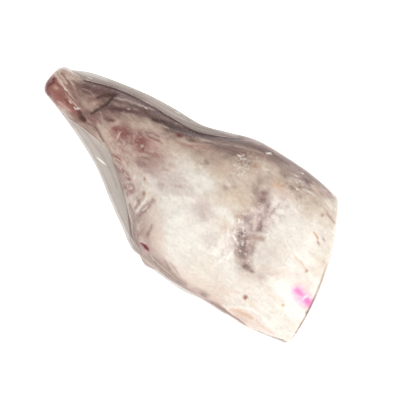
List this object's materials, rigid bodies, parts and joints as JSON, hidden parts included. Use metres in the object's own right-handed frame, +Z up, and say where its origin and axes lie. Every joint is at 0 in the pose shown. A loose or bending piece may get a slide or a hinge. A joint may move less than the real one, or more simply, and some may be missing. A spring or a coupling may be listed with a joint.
{
  "type": "raw leg of lamb",
  "caption": "Raw leg of lamb lying fat side up in tight clear shrink film, which stands out in thin webs beside its shank.",
  "frame": {"origin": "on the table, under the middle of the leg's bounding box", "axes": "+X from the shank to the cut rump end, +Y towards the back edge, +Z up out of the fat side"},
  "size_m": [0.3784, 0.185, 0.0917],
  "materials": {
    "fat_under_film": "cream fat with dull red muscle showing through, under tight glossy film",
    "lamb": "moist raw fat, membrane and muscle",
    "clear_film": "thin clear shrink film, glossy, with fine wrinkles"
  },
  "bodies": {
    "root": {"vacuum_packed_leg": "fat_under_film"}
  },
  "joints": []
}
